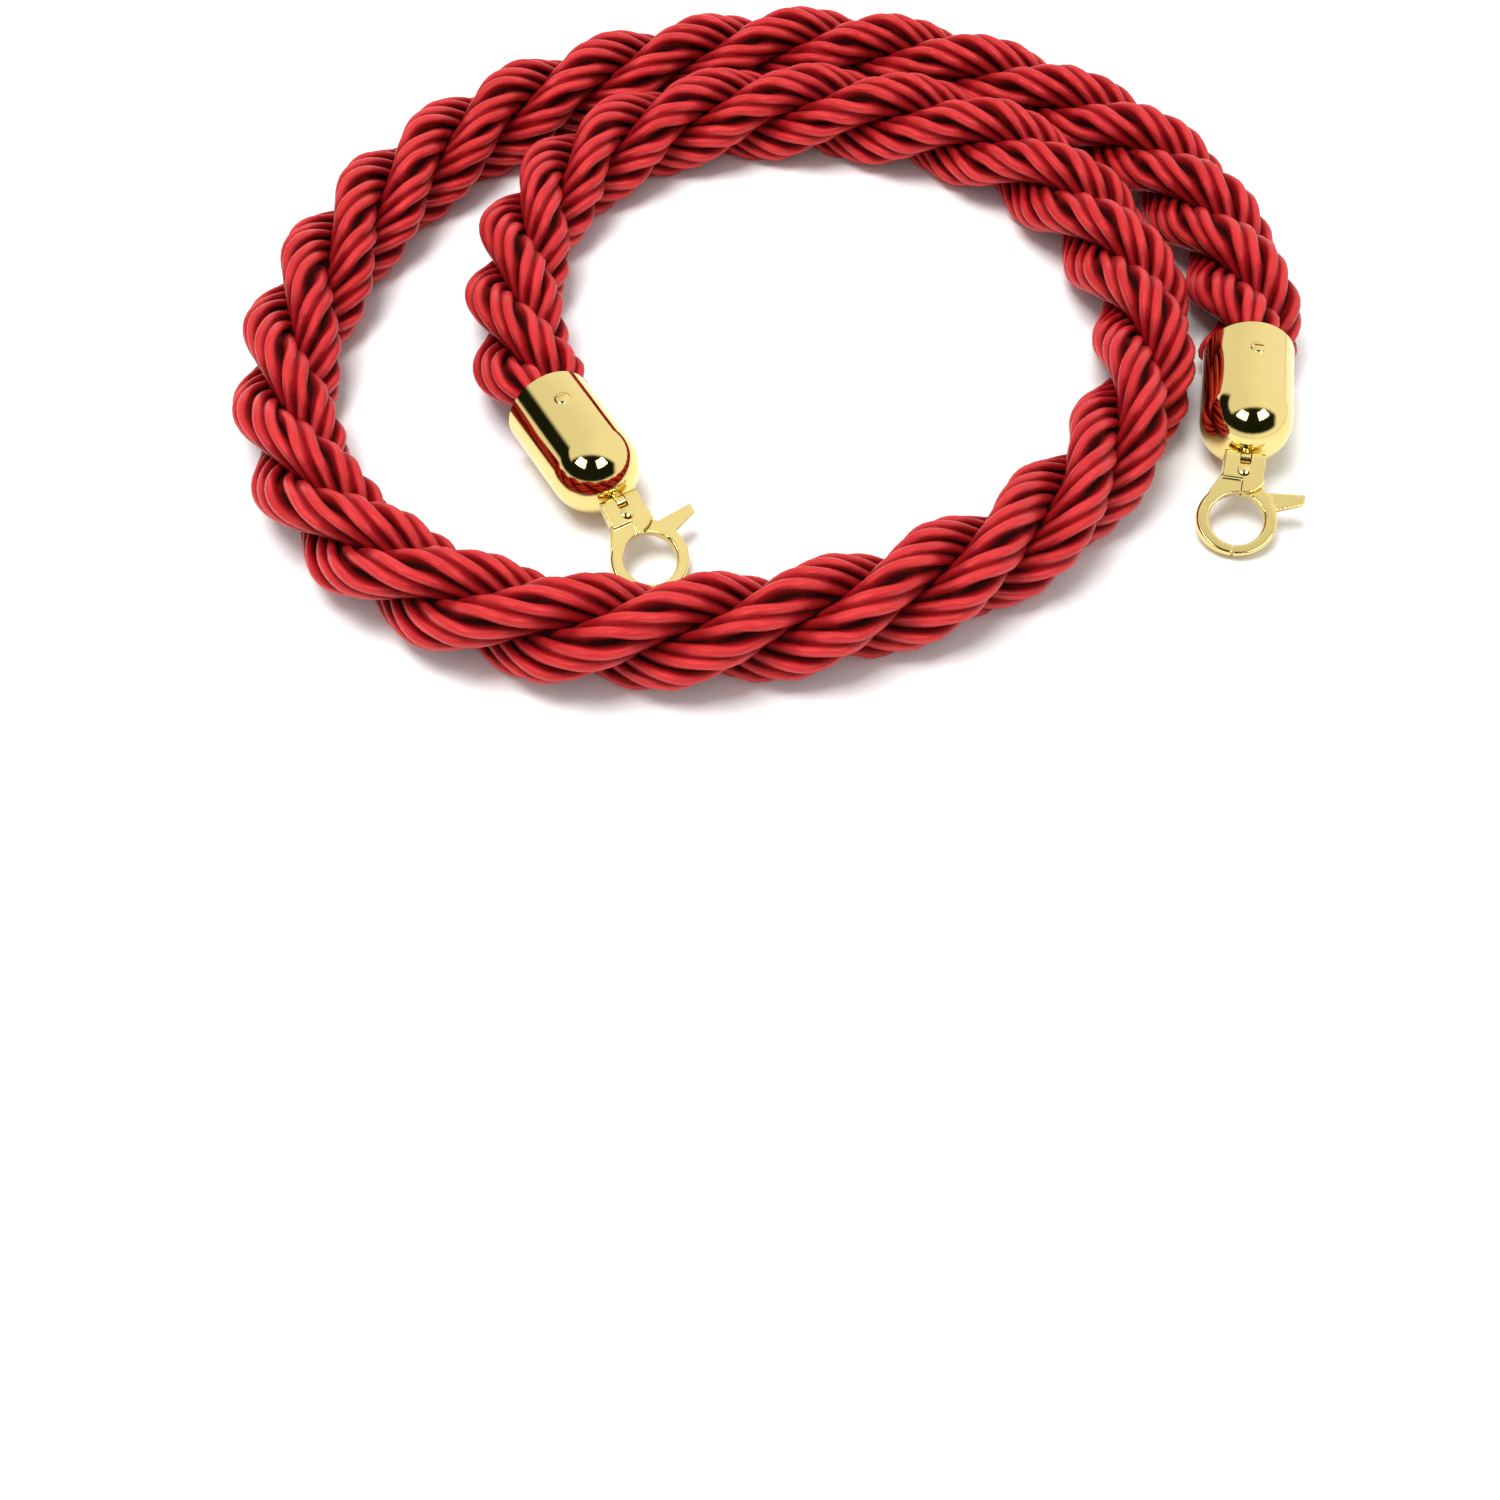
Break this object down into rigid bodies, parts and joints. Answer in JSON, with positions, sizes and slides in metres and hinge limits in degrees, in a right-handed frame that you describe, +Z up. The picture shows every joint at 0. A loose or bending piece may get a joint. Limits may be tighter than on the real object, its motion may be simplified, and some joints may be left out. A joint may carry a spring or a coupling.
{
  "type": "barrier rope",
  "caption": "Thick twisted satin rope for a queue barrier, lying in loose turns, with a domed metal cap and a swivelling snap hook on each end.",
  "frame": {"origin": "middle of the laid-out rope, seen from above, on the floor that it lies on", "axes": "+Z up; +X to the right and +Y away from a viewer who stands where both hooks point towards them"},
  "size_m": [0.3619, 0.3229, 0.032],
  "materials": {
    "red_rope": "satin twisted cord, bright sheen along each ply",
    "gold_metal": "mirror-polished gold plating",
    "steel": "plain bright steel",
    "tape": "dull woven binding tape"
  },
  "bodies": {
    "rope_and_caps": {"rope": "red_rope", "end_cap_a": "gold_metal", "cap_screws_a": "gold_metal", "end_binding_a": "tape", "swivel_washer_a": "steel", "end_cap_b": "gold_metal", "cap_screws_b": "gold_metal", "end_binding_b": "tape", "swivel_washer_b": "steel"},
    "swivel_a": {"swivel_stud_a": "steel"},
    "hook_a": {"hook_body_a": "gold_metal", "tilt_pin_a": "steel", "gate_rivet_a": "gold_metal", "gate_spring_a": "steel"},
    "gate_a": {"hook_gate_a": "gold_metal"},
    "swivel_b": {"swivel_stud_b": "steel"},
    "hook_b": {"hook_body_b": "gold_metal", "tilt_pin_b": "steel", "gate_rivet_b": "gold_metal", "gate_spring_b": "steel"},
    "gate_b": {"hook_gate_b": "gold_metal"}
  },
  "joints": [
    {"name": "swivel_a_turn", "type": "hinge", "parent": "rope_and_caps", "child": "swivel_a", "pos_m": [-0.04957, -0.09333, 0.016], "axis": [0.515, -0.8572, 0], "continuous": true},
    {"name": "hook_a_tilt", "type": "hinge", "parent": "swivel_a", "child": "hook_a", "pos_m": [-0.04957, -0.09333, 0.016], "axis": [0.8572, 0.515, 0], "range_deg": [-80.5, 29.5]},
    {"name": "gate_a_open", "type": "hinge", "parent": "hook_a", "child": "gate_a", "pos_m": [-0.04743, -0.09689, 0.01402], "axis": [0.2217, -0.369, 0.9026], "range_deg": [0, 35], "stiffness_Nm_per_rad": 0.02, "springref_deg": -20.05},
    {"name": "swivel_b_turn", "type": "hinge", "parent": "rope_and_caps", "child": "swivel_b", "pos_m": [0.15299, -0.0744, 0.016], "axis": [-0.1908, -0.9816, 0], "continuous": true},
    {"name": "hook_b_tilt", "type": "hinge", "parent": "swivel_b", "child": "hook_b", "pos_m": [0.15299, -0.0744, 0.016], "axis": [0.9816, -0.1908, 0], "range_deg": [-80.5, 29.5]},
    {"name": "gate_b_open", "type": "hinge", "parent": "hook_b", "child": "gate_b", "pos_m": [0.1522, -0.07848, 0.01402], "axis": [-0.0821, -0.4226, 0.9026], "range_deg": [0, 35], "stiffness_Nm_per_rad": 0.02, "springref_deg": -20.05}
  ]
}
